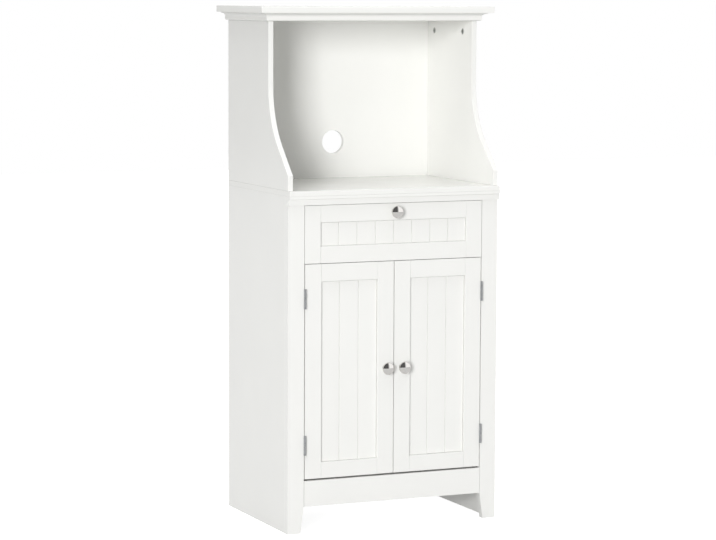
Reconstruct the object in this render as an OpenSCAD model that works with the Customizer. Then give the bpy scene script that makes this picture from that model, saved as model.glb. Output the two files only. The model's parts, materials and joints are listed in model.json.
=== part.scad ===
// Microwave stand: an open bay under a crown, over one drawer and two beaded doors.
// Sizes are in millimetres. +Z is up and the front looks towards -Y.
// The modules measure depth from the front face of the frame; at_front() then
// puts the middle of the whole footprint at the origin, on the floor.

/* [Body] */
// Width across the two sides
body_w = 566; // [500:1:700]
// Depth of the sides, with the front frame
body_d = 400; // [390:1:480]
// Height of the open bay between the counter and the top panel
bay_h = 407; // [360:1:500]
// Thickness of the sides, floor, shelf, rails and upper back
board_t = 13; // [12:0.5:16]
// Distance from the rear edges to the front face of the backs
back_margin = 15; // [14:0.5:20]
// Thickness of the thin lower back
lower_back_t = 4; // [3:0.5:6]
// Depth of the grooves that hold the thin lower back
back_groove = 6; // [4:0.5:8]

/* [Front frame] */
// Width of each front stile
stile_w = 43; // [38:1:50]
// Thickness of the frame, the doors and the drawer front
frame_t = 18; // [17:0.5:21]
// Height of the lower edge of the apron
leg_h = 66; // [50:1:100]
// Height of the apron
apron_h = 64; // [50:1:90]
// Width of each leg at the floor
leg_foot_w = 34; // [26:1:37]

/* [Counter] */
// Thickness of the counter
counter_t = 13; // [12:0.5:20]
// Reach of the counter in front of the frame
counter_nose = 12; // [8:1:20]
// Height of the moulding under the counter
moulding_h = 22; // [16:1:30]
// Height of the upper band of that moulding
band_h = 7; // [4:1:10]
// Step back under the band
band_step = 4; // [2:0.5:6]

/* [Upper sides] */
// Distance from the front frame back to the upper front edges
setback = 127; // [110:1:140]
// Radius of the sweep down to the counter
sweep_r = 212; // [180:1:240]
// Slope at which the sweep ends
sweep_angle = 45; // [40:1:50]
// Height of the upright foot under the sweep
sweep_foot = 37; // [20:1:60]
// Diameter of the cable hole
cable_hole_d = 60; // [40:1:80]
// Height of the middle of the cable hole above the counter
cable_hole_h = 93; // [60:1:150]

/* [Crown] */
// Thickness of the top panel
top_panel_t = 20; // [16:0.5:23]
// Thickness of the crown board
crown_t = 16; // [12:0.5:22]
// Reach of the crown board past the sides
crown_side = 32; // [26:1:45]
// Reach of the crown board past the upper front edges
crown_front = 36; // [26:1:45]
// Reach of the crown board past its moulding
crown_lip = 12; // [4:1:14]

/* [Drawer] */
// Height of the drawer front
drawer_front_h = 141.5; // [140:0.5:180]
// Width of the frame of the drawer front
drawer_frame_w = 41.5; // [38:0.5:45]
// Number of beaded boards in the drawer front
drawer_boards = 8; // [4:1:10]
// Height of the drawer box
box_h = 90; // [80:1:94]
// Thickness of the boards of the drawer box
box_t = 12; // [10:0.5:15]
// Thickness of the drawer bottom
box_bottom_t = 4; // [3:0.5:6]
// Height of the drawer bottom above the lower edge of the box
box_bottom_lift = 8; // [6:0.5:10]
// Depth of the grooves that hold the drawer bottom
box_groove = 6; // [4:0.5:7]

/* [Doors] */
// Height of the doors
door_h = 528; // [480:1:620]
// Width of the uprights and of the top rail of each door
door_frame_w = 43; // [38:0.5:48]
// Height of the bottom rail of each door
door_foot_w = 40; // [34:0.5:48]
// Number of beaded boards in each door
door_boards = 3; // [2:1:5]

/* [Beaded panels] */
// Depth of the panels behind the frames
panel_recess = 6; // [5:0.5:7]
// Thickness of the panels
panel_t = 6; // [5:0.5:7]
// Depth of the grooves in the frames
tongue = 8; // [6:0.5:10]
// Depth of the step round each panel, in front of its tongue
panel_step = 2.4; // [1:0.1:2.5]
// Space between a frame and the raised field of its panel
panel_reveal = 1.2; // [0.8:0.1:2]
// Width of each bead groove at the face
bead_w = 2; // [1.6:0.1:4]
// Depth of each bead groove
bead_depth = 2.2; // [1:0.1:2.5]

/* [Shelf] */
// Height of the top of the shelf above the floor of the cabinet
shelf_h = 262; // [150:1:360]
// Distance from the front frame to the shelf
shelf_setback = 30; // [28:1:60]
// Diameter of the shelf pins
shelf_pin_d = 5; // [4:0.5:7]
// Depth of the holes for the shelf pins
shelf_pin_hole = 9; // [7:0.5:10]
// Reach of the shelf pins under the shelf
shelf_pin_reach = 9; // [7:0.5:12]
// Spacing of the rows of pin holes
shelf_pin_pitch = 64; // [32:1:80]
// Distance of the shelf pins from the ends of the shelf
shelf_pin_inset = 35; // [25:1:50]

/* [Knobs] */
// Diameter of the knobs
knob_d = 31; // [24:0.5:36]
// Reach of the knobs in front of the doors
knob_reach = 26; // [22:0.5:32]
// Diameter of the neck of the knobs
knob_neck_d = 12; // [9:0.5:14]
// Diameter of the seat of the knobs
knob_seat_d = 17; // [15:0.5:20]
// Thickness of the rim of the knobs
knob_rim = 3; // [2:0.5:4]
// Depth of the screw hole in the knobs
knob_hole = 14; // [8:0.5:16]

/* [Hinges] */
// Height of the hinges
hinge_h = 46; // [40:1:60]
// Distance from each end of a door to the middle of its hinge
hinge_inset = 84; // [60:1:120]
// Diameter of the knuckles
knuckle_d = 6.5; // [6:0.25:8]
// Diameter of the hinge pins
hinge_pin_d = 3; // [2.5:0.1:3.5]
// Thickness of the leaves
leaf_t = 1.1; // [0.9:0.05:1.15]
// Depth of the leaves
leaf_depth = 15; // [12:0.5:16]
// Height of the caps of the hinge pins
pin_cap_h = 1.4; // [1:0.1:3]

/* [Slides] */
// Thickness of a whole drawer slide
slide_t = 12.7; // [12:0.1:14]
// Height of the slides
slide_h = 35; // [27:1:42]
// Thickness of the slide metal
slide_metal = 1.2; // [1:0.1:1.5]
// Height of the blocks behind the slides
spacer_h = 45; // [43:1:60]

/* [Fittings] */
// Diameter of the cam locks
cam_d = 15; // [12:0.5:16]
// Depth of the cam locks
cam_depth = 9.5; // [9:0.1:10.5]
// Distance from the end of a board to its cam locks
cam_reach = 27.5; // [24:0.5:34]
// Diameter of the cam bolts
cam_bolt_d = 5; // [4:0.5:6]
// Depth of the threaded ends of the cam bolts
cam_bolt_grip = 9; // [7:0.5:10.5]
// Distance of the cam locks from the rear edges
cam_rear = 53; // [50:1:80]
// Distance between the front and rear cam locks
cam_span = 166; // [120:1:200]
// Diameter of the dowels through the counter
dowel_d = 8; // [6:0.5:9]
// Depth of the dowels in each side
dowel_grip = 15; // [12:1:30]
// Distance of the dowels from the front frame and from the rear edges
dowel_inset = 50; // [40:1:90]
// Width of the magnetic catches
catch_w = 34; // [26:1:44]
// Depth of the magnetic catches
catch_d = 16; // [12:1:22]
// Height of the magnetic catches
catch_h = 12; // [10:1:16]
// Distance of the catches from the middle of the front
catch_x = 32; // [24:1:60]
// Depth of the front and rear rails under the drawer
rail_d = 60; // [50:1:80]
// Diameter of the wood screws
screw_d = 3.5; // [3:0.1:4]
// Length of the wood screws
screw_l = 15; // [12:0.5:15.5]
// Diameter of the hinge screws
hinge_screw_d = 2.6; // [2.2:0.1:3]
// Length of the hinge screws
hinge_screw_l = 13; // [10:0.5:16]
// Diameter of the knob screws
knob_screw_d = 4; // [3:0.5:5]

/* [Clearances] */
// Gap round the drawer front and above the doors
front_gap = 1.5; // [1:0.25:3]
// Gap under the doors
door_foot_gap = 4.5; // [2:0.25:6]
// Gap between each door and its stile
hinge_gap = 2.5; // [2.4:0.05:3]
// Gap between the two doors
meeting_gap = 2; // [2:0.25:4]
// Play of panels and tenons in their grooves
groove_play = 0.2; // [0.1:0.05:0.4]
// Space between the moving faces of a hinge or a slide
running_gap = 0.35; // [0.3:0.05:0.5]
// Radial play of the hinge pins
pin_play = 0.05; // [0.02:0.01:0.1]
// Radial play of screws, dowels, pins and cams in their holes
hole_play = 0.05; // [0.03:0.01:0.2]
// Space between the drawer box and the rails under it
box_gap = 6; // [4:0.5:10]
// Space between the drawer box and the lower back
box_back_gap = 35; // [25:1:60]
// Space between the drawer slides and the lower back
slide_back_gap = 15; // [8:1:40]
// Space between the doors and what stands behind them
door_stop_gap = 1.4; // [1.3:0.1:3]
// Space at each end of the shelf
shelf_gap = 0.8; // [0.5:0.1:0.9]

/* [Hidden] */
$fn = 48;
SKIN = 0.5;
WHITE = "#f4f4f1";
INNER_WHITE = "#ecece8";
CHROME = "#c9ccd0";
STEEL = "#a9adb1";
ZINC = "#b9bcb8";
BEECH = "#d9b98c";
BLACK = "#3a3c3f";

inner_y = frame_t + door_stop_gap;
half_w = body_w / 2;
half_in = half_w - board_t;
half_open = half_w - stile_w;
back_y = body_d - back_margin;
origin_y = (knob_reach - body_d) / 2;

apron_top = leg_h + apron_h;
door_z = apron_top + door_foot_gap;
door_top = door_z + door_h;
drawer_z = door_top + front_gap;
drawer_top = drawer_z + drawer_front_h;
moulding_z = drawer_top + front_gap;
counter_z = moulding_z + moulding_h;
counter_top = counter_z + counter_t;
bay_top = counter_top + bay_h;
crown_z = bay_top + top_panel_t;
floor_z = apron_top - board_t;
crown_drop = crown_side - crown_lip;

door_near = meeting_gap / 2;
door_far = half_open - hinge_gap;
door_in = [door_near + door_frame_w, door_far - door_frame_w];
door_mid_z = door_z + door_h / 2;
knob_x = door_near + door_frame_w / 2;
hinge_x = half_open - hinge_gap / 2;
knuckle_r = knuckle_d / 2;
hinge_out = knuckle_r + running_gap;
hinge_bottoms = [door_z + hinge_inset - hinge_h / 2, door_top - hinge_inset - hinge_h / 2];
knuckles = 5;
knuckle_pitch = hinge_h / knuckles;
leaf_screws = [0.2, 0.8];
leaf_screw_depth = 0.55;

drawer_half = half_open - front_gap;
drawer_in = drawer_half - drawer_frame_w;
drawer_knob_z = drawer_top - drawer_frame_w / 2;
rail_z = (door_top + drawer_z - board_t) / 2;
box_z = rail_z + board_t + box_gap;
box_half = half_open - slide_t;
box_l = back_y - frame_t - box_back_gap;
box_y = frame_t + box_l;
box_bottom_z = box_z + box_bottom_lift;
slide_z = box_z + box_h / 2;
slide_l = back_y - inner_y - slide_back_gap;
slide_lip = slide_t - 2 * slide_metal;
rail_h = slide_h - 2 * slide_metal - 2 * running_gap;
slide_screws = [0.12, 0.5, 0.88];
front_screw_low = 16;
front_screw_high = 14;
front_screw_z = [box_bottom_z + front_screw_low, box_z + box_h - front_screw_high];

shelf_top = apron_top + shelf_h;
shelf_y = [shelf_setback, back_y - shelf_gap];
shelf_pin_z = shelf_top - board_t - shelf_pin_d / 2;
shelf_pin_y = [shelf_y[0] + shelf_pin_inset, shelf_y[1] - shelf_pin_inset];
cam_y = [body_d - cam_rear - cam_span, body_d - cam_rear];
dowel_y = [dowel_inset, body_d - dowel_inset];
catch_top = rail_z;
catch_foot = 3;
strike_t = 1;
strike_z = catch_top - catch_h;
strike_end = 0.8;
strike_screw = 0.65;
catch_screws = [-0.32, 0.32];
back_screws = [0.3, 0.9];
front_screw_l = screw_l + box_t - 3;
rail_screw_l = box_t - 1;

// ---- placing ----

// Moves the frame's front face to its place about the origin
module at_front() {
    translate([0, origin_y, 0]) children();
}

// The same thing on the right (+X) and on the left
module both_sides() {
    children();
    mirror([1, 0, 0]) children();
}

// A board from its lowest and highest corners
module board(low, high) {
    translate(low) cube(high - low);
}

// A profile in (depth, height), extruded along X from x0 to x1
module along_x(x0, x1) {
    translate([x0, 0, 0]) rotate([90, 0, 90]) linear_extrude(x1 - x0) children();
}

// ---- fasteners and their holes ----

// A countersunk screw on +Z: its head's face is at 0 and its point is below
module wood_screw(d, l) {
    translate([0, 0, -l]) cylinder(d = d, h = l - d / 2);
    translate([0, 0, -d / 2]) cylinder(d1 = d, d2 = 2 * d, h = d / 2);
}

module wood_screw_hole(d, l) {
    depth = l + hole_play;
    translate([0, 0, -depth]) cylinder(d = d + 2 * hole_play, h = depth);
    translate([0, 0, -d / 2 - hole_play]) {
        cylinder(d1 = d + 2 * hole_play, d2 = 2 * d + 2 * hole_play, h = d / 2 + hole_play);
    }
    cylinder(d = 2 * d + 2 * hole_play, h = SKIN);
}

// Cam lock: its face is at 0, its body goes up +Z, and its bolt leaves along +X
module cam_body(play) {
    translate([0, 0, play > 0 ? -SKIN : 0]) {
        cylinder(d = cam_d + 2 * play, h = cam_depth + play + (play > 0 ? SKIN : 0));
    }
}

module cam_bolt(play) {
    shank_d = cam_bolt_d + 2 * play;
    translate([cam_d / 4, 0, board_t / 2]) rotate([0, 90, 0]) {
        cylinder(d = shank_d, h = cam_reach + cam_bolt_grip + play - cam_d / 4);
    }
}

module cam_lock() {
    slot_w = 1.6;
    slot_l = cam_d * 0.6;
    slot_depth = 2;
    difference() {
        cam_body(0);
        cam_bolt(hole_play);
        for (turn = [0, 90]) {
            rotate(turn) translate([-slot_l / 2, -slot_w / 2, -SKIN]) {
                cube([slot_l, slot_w, slot_depth + SKIN]);
            }
        }
    }
}

// The four cam joints of the top panel, then the four of the cabinet floor
module at_cams() {
    both_sides() for (y = cam_y) {
        translate([half_in, y, bay_top - cam_reach]) rotate([0, 90, 0]) rotate(180) children();
        translate([half_in - cam_reach, y, floor_z]) children();
    }
}

module cam_pockets() {
    at_cams() {
        cam_body(hole_play);
        cam_bolt(hole_play);
    }
}

module dowel_row(play) {
    both_sides() for (y = dowel_y) {
        translate([half_w - board_t / 2, y, counter_z - dowel_grip - play]) {
            cylinder(d = dowel_d + 2 * play, h = counter_t + 2 * (dowel_grip + play));
        }
    }
}

// Rows of holes for the shelf pins, one of them in use
module shelf_pin_holes() {
    both_sides() for (y = shelf_pin_y, row = [-1, 0, 1]) {
        translate([half_in - SKIN, y, shelf_pin_z + row * shelf_pin_pitch]) rotate([0, 90, 0]) {
            cylinder(d = shelf_pin_d + 2 * hole_play, h = shelf_pin_hole + SKIN);
        }
    }
}

// Where the screws of the cabinet go; each child is a screw or its hole
module at_cabinet_screws() {
    both_sides() {
        for (part = slide_screws) {
            translate([half_open - slide_metal, inner_y + part * slide_l, slide_z]) {
                rotate([0, -90, 0]) children();
            }
        }
        for (part = catch_screws) {
            translate([catch_x + part * catch_w, inner_y + catch_d / 2, catch_top - catch_foot]) {
                rotate([180, 0, 0]) children();
            }
        }
        for (part = back_screws, z = [floor_z, rail_z]) {
            translate([part * half_in, back_y + lower_back_t, z + board_t / 2]) {
                rotate([-90, 0, 0]) children();
            }
        }
    }
}

// ---- lower cabinet ----

module lower_side() {
    color(WHITE) difference() {
        board([half_in, frame_t, 0], [half_w, body_d, counter_z]);
        board(
            [half_in - SKIN, back_y, floor_z],
            [half_in + back_groove, back_y + lower_back_t + groove_play, counter_z + SKIN]
        );
        cam_pockets();
        dowel_row(hole_play);
        shelf_pin_holes();
    }
}

// A front stile whose inner edge tapers to the foot below the apron
module front_stile() {
    outline = [
        [half_w, 0], [half_w - leg_foot_w, 0], [half_open, leg_h],
        [half_open, moulding_z], [half_w, moulding_z]
    ];
    color(WHITE) difference() {
        translate([0, frame_t, 0]) rotate([90, 0, 0]) linear_extrude(frame_t) polygon(outline);
        at_frame_hinge_screws() wood_screw_hole(hinge_screw_d, hinge_screw_l);
    }
}

module lower_side_left() {
    at_front() mirror([1, 0, 0]) lower_side();
}

module lower_side_right() {
    at_front() lower_side();
}

module front_stile_left() {
    at_front() mirror([1, 0, 0]) front_stile();
}

module front_stile_right() {
    at_front() front_stile();
}

module apron() {
    color(WHITE) at_front() board([-half_open, 0, leg_h], [half_open, frame_t, apron_top]);
}

module cabinet_floor() {
    color(INNER_WHITE) at_front() difference() {
        board([-half_in, frame_t, floor_z], [half_in, back_y, apron_top]);
        cam_pockets();
        at_cabinet_screws() wood_screw_hole(screw_d, screw_l);
    }
}

// The two rails that tie the sides together under the drawer
module drawer_rails() {
    color(INNER_WHITE) at_front() difference() {
        for (y = [inner_y, back_y - rail_d]) {
            board([-half_in, y, rail_z], [half_in, y + rail_d, rail_z + board_t]);
        }
        at_cabinet_screws() wood_screw_hole(screw_d, screw_l);
    }
}

module lower_back() {
    half_back = half_in + back_groove - groove_play;
    color(INNER_WHITE) at_front() difference() {
        board([-half_back, back_y, floor_z + groove_play], [half_back, back_y + lower_back_t, counter_z]);
        at_cabinet_screws() wood_screw_hole(screw_d, screw_l);
    }
}

// ---- counter ----

module countertop() {
    color(WHITE) at_front() difference() {
        board([-half_w, -counter_nose, counter_z], [half_w, body_d, counter_top]);
        dowel_row(hole_play);
    }
}

module counter_moulding() {
    step_z = counter_z - band_h;
    cove_r = band_step / 2;
    color(WHITE) at_front() along_x(-half_w, half_w) difference() {
        translate([-counter_nose, moulding_z]) square([counter_nose + frame_t, moulding_h]);
        translate([-counter_nose - SKIN, moulding_z - SKIN]) {
            square([band_step + SKIN, step_z - moulding_z + SKIN - cove_r]);
        }
        translate([-counter_nose - SKIN, moulding_z - SKIN]) {
            square([band_step + SKIN - cove_r, step_z - moulding_z + SKIN]);
        }
        translate([-counter_nose + band_step - cove_r, step_z - cove_r]) circle(r = cove_r);
    }
}

module counter_dowels() {
    color(BEECH) at_front() dowel_row(0);
}

// ---- upper part ----

// The outline of an upper side in (depth, height above the counter)
module upper_side_outline() {
    run = setback - sweep_r * (1 - cos(sweep_angle));
    line_z = sweep_foot + run / tan(sweep_angle);
    arc_z = line_z + sweep_r * sin(sweep_angle);
    centre = [setback - sweep_r, arc_z];
    past = 1.2 * sweep_r;
    difference() {
        square([body_d, bay_h]);
        translate([-SKIN, arc_z]) square([setback + SKIN, bay_h]);
        intersection() {
            translate(centre) circle(r = sweep_r, $fn = 180);
            polygon([centre, centre + past * [1, 0], centre + past * [cos(sweep_angle), -sin(sweep_angle)]]);
        }
        polygon([[run, line_z], [0, sweep_foot], [centre[0], sweep_foot], centre]);
    }
}

module upper_side() {
    color(WHITE) difference() {
        translate([0, 0, counter_top]) along_x(half_in, half_w) upper_side_outline();
        cam_pockets();
        dowel_row(hole_play);
    }
}

module upper_side_left() {
    at_front() mirror([1, 0, 0]) upper_side();
}

module upper_side_right() {
    at_front() upper_side();
}

module upper_back() {
    color(WHITE) at_front() difference() {
        board([-half_in, back_y, counter_top], [half_in, back_y + board_t, bay_top]);
        translate([0, back_y - SKIN, counter_top + cable_hole_h]) rotate([-90, 0, 0]) {
            cylinder(d = cable_hole_d, h = board_t + 2 * SKIN, $fn = 96);
        }
    }
}

// ---- crown ----

module top_panel() {
    color(WHITE) at_front() difference() {
        board([-half_w, setback, bay_top], [half_w, body_d, crown_z]);
        cam_pockets();
    }
}

module crown_board() {
    reach = half_w + crown_side;
    color(WHITE) at_front() {
        board([-reach, setback - crown_front, crown_z], [reach, body_d, crown_z + crown_t]);
    }
}

// The moulding's profile in (reach past the boards, height above the bay): a band
// with a rounded lower edge, then a cove out to a narrow lip. All reaches keep their
// share of the whole, so that the front and the sides meet at the mitres.
module crown_profile(reach) {
    band = 0.45 * reach;
    band_top = 0.5 * top_panel_t;
    lip = 2;
    edge_w = 0.2 * reach;
    edge_h = 3;
    square([band - edge_w, band_top]);
    translate([0, edge_h]) square([band, band_top - edge_h]);
    translate([band - edge_w, edge_h]) oval(edge_w, edge_h);
    difference() {
        translate([0, band_top]) square([reach, top_panel_t - band_top]);
        translate([reach, band_top]) oval(reach - band, top_panel_t - band_top - lip);
    }
}

// A flat oval from its half width and half height
module oval(half_width, half_height) {
    polygon([for (turn = [0 : 6 : 354]) [half_width * cos(turn), half_height * sin(turn)]]);
}

// The front moulding, with its ends mitred to the side mouldings
module crown_moulding_front() {
    front_reach = crown_front - crown_lip;
    end = half_w + crown_drop;
    color(WHITE) at_front() difference() {
        translate([0, setback, bay_top]) along_x(-end, end) mirror([1, 0]) crown_profile(front_reach);
        both_sides() translate([0, setback, bay_top - SKIN]) crown_mitre(front_reach);
    }
}

// What the mitre takes off the right-hand end of the front moulding
module crown_mitre(front_reach) {
    far = half_w + crown_drop + SKIN;
    slope = front_reach / crown_drop;
    linear_extrude(top_panel_t + 2 * SKIN) {
        polygon([[half_w, 0], [far, -(far - half_w) * slope], [far + SKIN, SKIN], [half_w, SKIN]]);
    }
}

module crown_moulding_side() {
    front_reach = crown_front - crown_lip;
    far = crown_drop + SKIN;
    past = -front_reach - 1;
    color(WHITE) difference() {
        translate([half_w, setback - front_reach, bay_top]) rotate([90, 0, 180]) mirror([1, 0, 0]) {
            linear_extrude(body_d - setback + front_reach) crown_profile(crown_drop);
        }
        translate([half_w, setback, bay_top - SKIN]) linear_extrude(top_panel_t + 2 * SKIN) {
            polygon([[0, 0], [far, -far * front_reach / crown_drop], [far, past], [-1, past], [-1, 0]]);
        }
    }
}

module crown_moulding_left() {
    at_front() mirror([1, 0, 0]) crown_moulding_side();
}

module crown_moulding_right() {
    at_front() crown_moulding_side();
}

// ---- shelf and fittings ----

module shelf() {
    half_shelf = half_in - shelf_gap;
    color(INNER_WHITE) at_front() {
        board([-half_shelf, shelf_y[0], shelf_top - board_t], [half_shelf, shelf_y[1], shelf_top]);
    }
}

module shelf_pins() {
    color(STEEL) at_front() both_sides() for (y = shelf_pin_y) {
        translate([half_in - shelf_pin_reach, y, shelf_pin_z]) rotate([0, 90, 0]) {
            cylinder(d = shelf_pin_d, h = shelf_pin_reach + shelf_pin_hole - hole_play);
        }
    }
}

module cam_locks() {
    color(ZINC) at_front() at_cams() cam_lock();
}

module cam_bolts() {
    color(STEEL) at_front() at_cams() cam_bolt(0);
}

module magnetic_catches() {
    color(BLACK) at_front() difference() {
        both_sides() board(
            [catch_x - catch_w / 2, inner_y, catch_top - catch_h],
            [catch_x + catch_w / 2, inner_y + catch_d, catch_top]
        );
        at_cabinet_screws() {
            wood_screw_hole(screw_d, screw_l);
            cylinder(d = 2 * screw_d + 1, h = catch_h);
        }
    }
}

module cabinet_screws() {
    color(ZINC) at_front() {
        at_cabinet_screws() wood_screw(screw_d, screw_l);
        both_sides() at_frame_hinge_screws() wood_screw(hinge_screw_d, hinge_screw_l);
    }
}

// ---- slides ----

// Blocks that bring the slides out to the edge of the stiles
module slide_spacers() {
    color(INNER_WHITE) at_front() difference() {
        both_sides() board(
            [half_open, frame_t, slide_z - spacer_h / 2],
            [half_in, back_y, slide_z + spacer_h / 2]
        );
        at_cabinet_screws() wood_screw_hole(screw_d, screw_l);
    }
}

// A lying channel of the given height and depth, with its web at x = 0 and open to -X
module channel(h, depth, l) {
    difference() {
        translate([-depth, 0, -h / 2]) cube([depth, l, h]);
        translate([-depth - slide_metal, -SKIN, -h / 2 + slide_metal]) {
            cube([depth, l + 2 * SKIN, h - 2 * slide_metal]);
        }
    }
}

module slide_channels() {
    color(STEEL) at_front() difference() {
        both_sides() translate([half_open, inner_y, slide_z]) channel(slide_h, slide_lip, slide_l);
        at_cabinet_screws() wood_screw_hole(screw_d, screw_l);
    }
}

// ---- hinges ----

// Right-hand hinges, each from its foot with the pin at x = 0, y = 0
module at_hinges() {
    for (z = hinge_bottoms) {
        translate([hinge_x, -hinge_out, z]) children();
    }
}

// A leaf on side +1 (frame) or -1 (door); it holds every second knuckle from first on
module hinge_leaf(side, first) {
    near = hinge_gap / 2 - leaf_t;
    leaf_x = side > 0 ? near : -near - leaf_t;
    difference() {
        union() {
            translate([leaf_x, hinge_out, 0]) cube([leaf_t, leaf_depth, hinge_h]);
            for (i = [first : 2 : knuckles - 1]) {
                translate([0, 0, i * knuckle_pitch + running_gap / 2]) {
                    cylinder(r = knuckle_r, h = knuckle_pitch - running_gap);
                    translate([leaf_x, 0, 0]) cube([leaf_t, hinge_out + SKIN, knuckle_pitch - running_gap]);
                }
            }
        }
        translate([0, 0, -SKIN]) cylinder(d = hinge_pin_d + 2 * pin_play, h = hinge_h + 2 * SKIN);
    }
}

module at_leaf_screws(side) {
    screw_x = side * (hinge_gap / 2 - leaf_t);
    for (part = leaf_screws) {
        translate([screw_x, hinge_out + leaf_screw_depth * leaf_depth, part * hinge_h]) {
            rotate([0, -90 * side, 0]) children();
        }
    }
}

module at_frame_hinge_screws() {
    at_hinges() at_leaf_screws(1) children();
}

module at_door_hinge_screws() {
    at_hinges() at_leaf_screws(-1) children();
}

module hinge_frame_leaves() {
    color(STEEL) at_front() both_sides() difference() {
        at_hinges() hinge_leaf(1, 0);
        at_frame_hinge_screws() wood_screw_hole(hinge_screw_d, hinge_screw_l);
    }
}

module hinge_pins() {
    color(STEEL) at_front() both_sides() at_hinges() {
        cylinder(d = hinge_pin_d, h = hinge_h);
        translate([0, 0, hinge_h]) cylinder(r = knuckle_r, h = pin_cap_h);
        translate([0, 0, -pin_cap_h]) cylinder(r = knuckle_r, h = pin_cap_h);
    }
}

module door_leaves() {
    color(STEEL) difference() {
        at_hinges() hinge_leaf(-1, 1);
        at_door_hinge_screws() wood_screw_hole(hinge_screw_d, hinge_screw_l);
    }
}

// ---- framed and beaded fronts ----

tongue_y = panel_recess + panel_step;
groove_low = tongue_y - groove_play / 2;
groove_high = panel_recess + panel_t + groove_play / 2;

// An upright of a frame from x0 to x1, grooved on the edge that faces groove_x
module grooved_upright(x0, x1, z0, z1, groove_x) {
    cut = groove_x > x0 ? [x1 - tongue, x1 + SKIN] : [x0 - SKIN, x0 + tongue];
    difference() {
        board([x0, 0, z0], [x1, frame_t, z1]);
        board([cut[0], groove_low, z0 - SKIN], [cut[1], groove_high, z1 + SKIN]);
    }
}

// A rail of a frame between two uprights, with its tenons and a groove towards groove_z
module grooved_rail(x0, x1, z0, z1, groove_z) {
    cut = groove_z > z0 ? [z1 - tongue, z1 + SKIN] : [z0 - SKIN, z0 + tongue];
    reach = tongue - groove_play;
    difference() {
        union() {
            board([x0, 0, z0], [x1, frame_t, z1]);
            board([x0 - reach, tongue_y, z0], [x1 + reach, panel_recess + panel_t, z1]);
        }
        board([x0 - tongue, groove_low, cut[0]], [x1 + tongue, groove_high, cut[1]]);
    }
}

// A panel between x0 and x1: a raised field of boards with a groove at each joint, stepped down
// all round to a thin tongue
module beaded_panel(x0, x1, z0, z1, boards) {
    reach = tongue - groove_play;
    pitch = (x1 - x0) / boards;
    half_bead = bead_w / 2;
    half_foot = 0.7 * half_bead;
    groove = [[-half_bead, -SKIN], [-half_foot, bead_depth], [half_foot, bead_depth], [half_bead, -SKIN]];
    difference() {
        union() {
            board([x0 - reach, tongue_y, z0 - reach], [x1 + reach, panel_recess + panel_t, z1 + reach]);
            board(
                [x0 + panel_reveal, panel_recess, z0 + panel_reveal],
                [x1 - panel_reveal, panel_recess + panel_t, z1 - panel_reveal]
            );
        }
        for (i = [1 : boards - 1]) {
            translate([x0 + i * pitch, panel_recess, z0 - tongue]) linear_extrude(z1 - z0 + 2 * tongue) {
                polygon(groove);
            }
        }
    }
}

// A knob on its seat, facing -Y
module knob() {
    seat_t = 1.5;
    neck_z = 4;
    rim_z = knob_reach * 0.66;
    dome_h = knob_reach - rim_z - knob_rim;
    profile = concat(
        [[0, 0], [knob_seat_d / 2, 0], [knob_seat_d / 2, seat_t], [knob_neck_d / 2, neck_z]],
        [for (turn = [0 : 15 : 75]) [
            knob_neck_d / 2 + (knob_d - knob_neck_d) / 2 * (1 - cos(turn)),
            neck_z + (rim_z - neck_z) * sin(turn)
        ]],
        [[knob_d / 2, rim_z], [knob_d / 2, rim_z + knob_rim]],
        [for (turn = [15 : 15 : 90]) [knob_d / 2 * cos(turn), rim_z + knob_rim + dome_h * sin(turn)]]
    );
    color(CHROME) rotate([90, 0, 0]) difference() {
        rotate_extrude($fn = 96) polygon(profile);
        translate([0, 0, -SKIN]) cylinder(d = knob_screw_d + 2 * hole_play, h = knob_hole + SKIN);
    }
}

// A pan-head screw from the back of a front into its knob, or the hole for it
module knob_screw(play) {
    head_t = knob_screw_d / 2.5;
    grip = knob_hole - 1;
    translate([0, frame_t, 0]) rotate([90, 0, 0]) {
        cylinder(d = knob_screw_d + 2 * play, h = frame_t + grip + 2 * play);
    }
    if (play == 0) {
        translate([0, frame_t, 0]) rotate([-90, 0, 0]) cylinder(d = 2 * knob_screw_d, h = head_t);
    }
}

// ---- drawer ----

module drawer_upright() {
    color(WHITE) difference() {
        grooved_upright(drawer_in, drawer_half, drawer_z, drawer_top, 0);
        at_front_screws() wood_screw_hole(screw_d, front_screw_l);
    }
}

// The screws that hold the drawer front on its box, seen from inside the drawer
module at_front_screws() {
    screw_x = (drawer_in + tongue + box_half - box_t) / 2;
    for (z = front_screw_z) {
        translate([screw_x, frame_t + box_t, z]) rotate([-90, 0, 0]) children();
    }
}

module at_rail_screws() {
    for (part = slide_screws) {
        translate([box_half + slide_metal, frame_t + part * box_l, slide_z]) rotate([0, 90, 0]) children();
    }
}

module drawer_stile_left() {
    at_front() mirror([1, 0, 0]) drawer_upright();
}

module drawer_stile_right() {
    at_front() drawer_upright();
}

module drawer_top_rail() {
    color(WHITE) at_front() difference() {
        grooved_rail(-drawer_in, drawer_in, drawer_top - drawer_frame_w, drawer_top, drawer_z);
        translate([0, 0, drawer_knob_z]) knob_screw(hole_play);
    }
}

module drawer_bottom_rail() {
    color(WHITE) at_front() {
        grooved_rail(-drawer_in, drawer_in, drawer_z, drawer_z + drawer_frame_w, drawer_top);
    }
}

module drawer_panel() {
    color(WHITE) at_front() {
        beaded_panel(
            -drawer_in, drawer_in,
            drawer_z + drawer_frame_w, drawer_top - drawer_frame_w, drawer_boards
        );
    }
}

// The groove round the inside of the box that holds its bottom
module box_bottom_space(play) {
    board(
        [-box_half + box_t - box_groove - play, frame_t + box_t - box_groove - play, box_bottom_z - play / 2],
        [box_half - box_t + box_groove + play, box_y + SKIN, box_bottom_z + box_bottom_t + play / 2]
    );
}

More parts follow.
